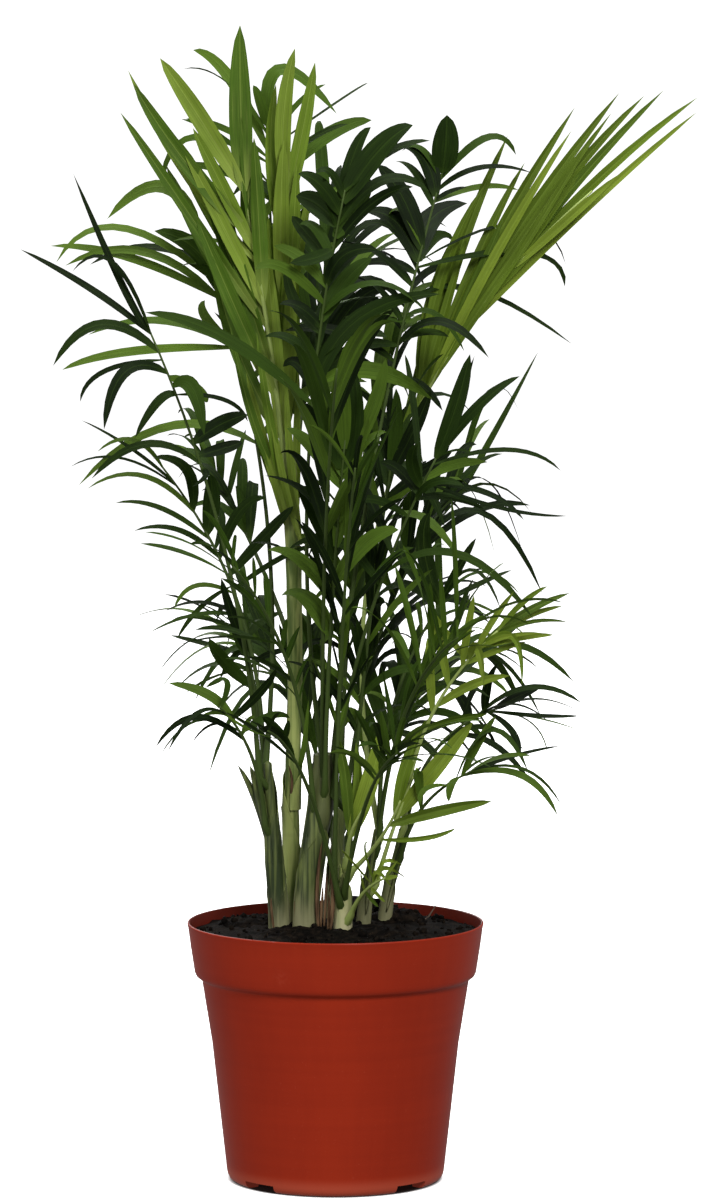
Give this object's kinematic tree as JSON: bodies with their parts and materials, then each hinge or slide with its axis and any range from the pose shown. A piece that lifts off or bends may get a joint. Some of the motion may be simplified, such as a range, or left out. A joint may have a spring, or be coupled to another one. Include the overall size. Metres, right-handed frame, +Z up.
{
  "type": "potted parlour palm",
  "caption": "Parlour palm: a clump of sheathed stems with feathery arching fronds, standing in a round tapered terracotta-coloured plastic nursery pot filled with soil.",
  "frame": {"origin": "on the floor, under the middle of the whole plant's box; the pot's axis is 10 mm to the left of it", "axes": "+Z up along the plant's height, the side that the picture shows faces -Y, +X to the right in the picture"},
  "size_m": [0.2682, 0.2698, 0.4668],
  "materials": {
    "pot_plastic": "satin terracotta-red plastic",
    "soil": "dark moist peat",
    "stem_pale": "smooth pale green stem",
    "stem_olive": "olive leaf sheaths",
    "leaf_young": "fresh light green leaf",
    "leaf_mature": "mid green leaf",
    "leaf_dark": "dark green leaf"
  },
  "bodies": {
    "root": {"pot": "pot_plastic", "soil": "soil", "stem_left": "stem_olive", "stem_pale": "stem_pale", "stem_sheathed": "stem_olive", "stem_centre": "stem_pale", "stem_slim": "stem_olive", "stem_right": "stem_olive", "stem_back": "stem_olive", "frond_spear_tall": "leaf_young", "frond_spear_closed": "leaf_young", "frond_fan_right": "leaf_young", "frond_right_fan": "leaf_young", "frond_low_bright": "leaf_young", "frond_low_leaf": "leaf_young", "frond_low_spray": "leaf_young", "frond_centre_young": "leaf_young", "frond_behind_spears": "leaf_mature", "frond_left_high": "leaf_mature", "frond_right_upright": "leaf_mature", "frond_front_left": "leaf_mature", "frond_front_middle": "leaf_mature", "frond_front_right": "leaf_mature", "frond_front_low_right": "leaf_mature", "frond_front_high": "leaf_mature", "frond_back_left": "leaf_mature", "frond_back_low_left": "leaf_mature", "frond_crown_centre": "leaf_dark", "frond_crown_right": "leaf_dark", "frond_left_arch": "leaf_dark", "frond_left_low_arch": "leaf_dark", "frond_left_small": "leaf_dark", "frond_left_foot": "leaf_dark", "frond_right_middle": "leaf_dark", "frond_right_low": "leaf_dark", "frond_right_foot": "leaf_dark", "frond_front_low": "leaf_dark", "frond_back_middle": "leaf_dark", "frond_back_right": "leaf_dark", "frond_back_low_right": "leaf_dark", "frond_back_high": "leaf_dark", "frond_heart_broad": "leaf_dark", "frond_heart_upright": "leaf_dark"}
  },
  "joints": []
}
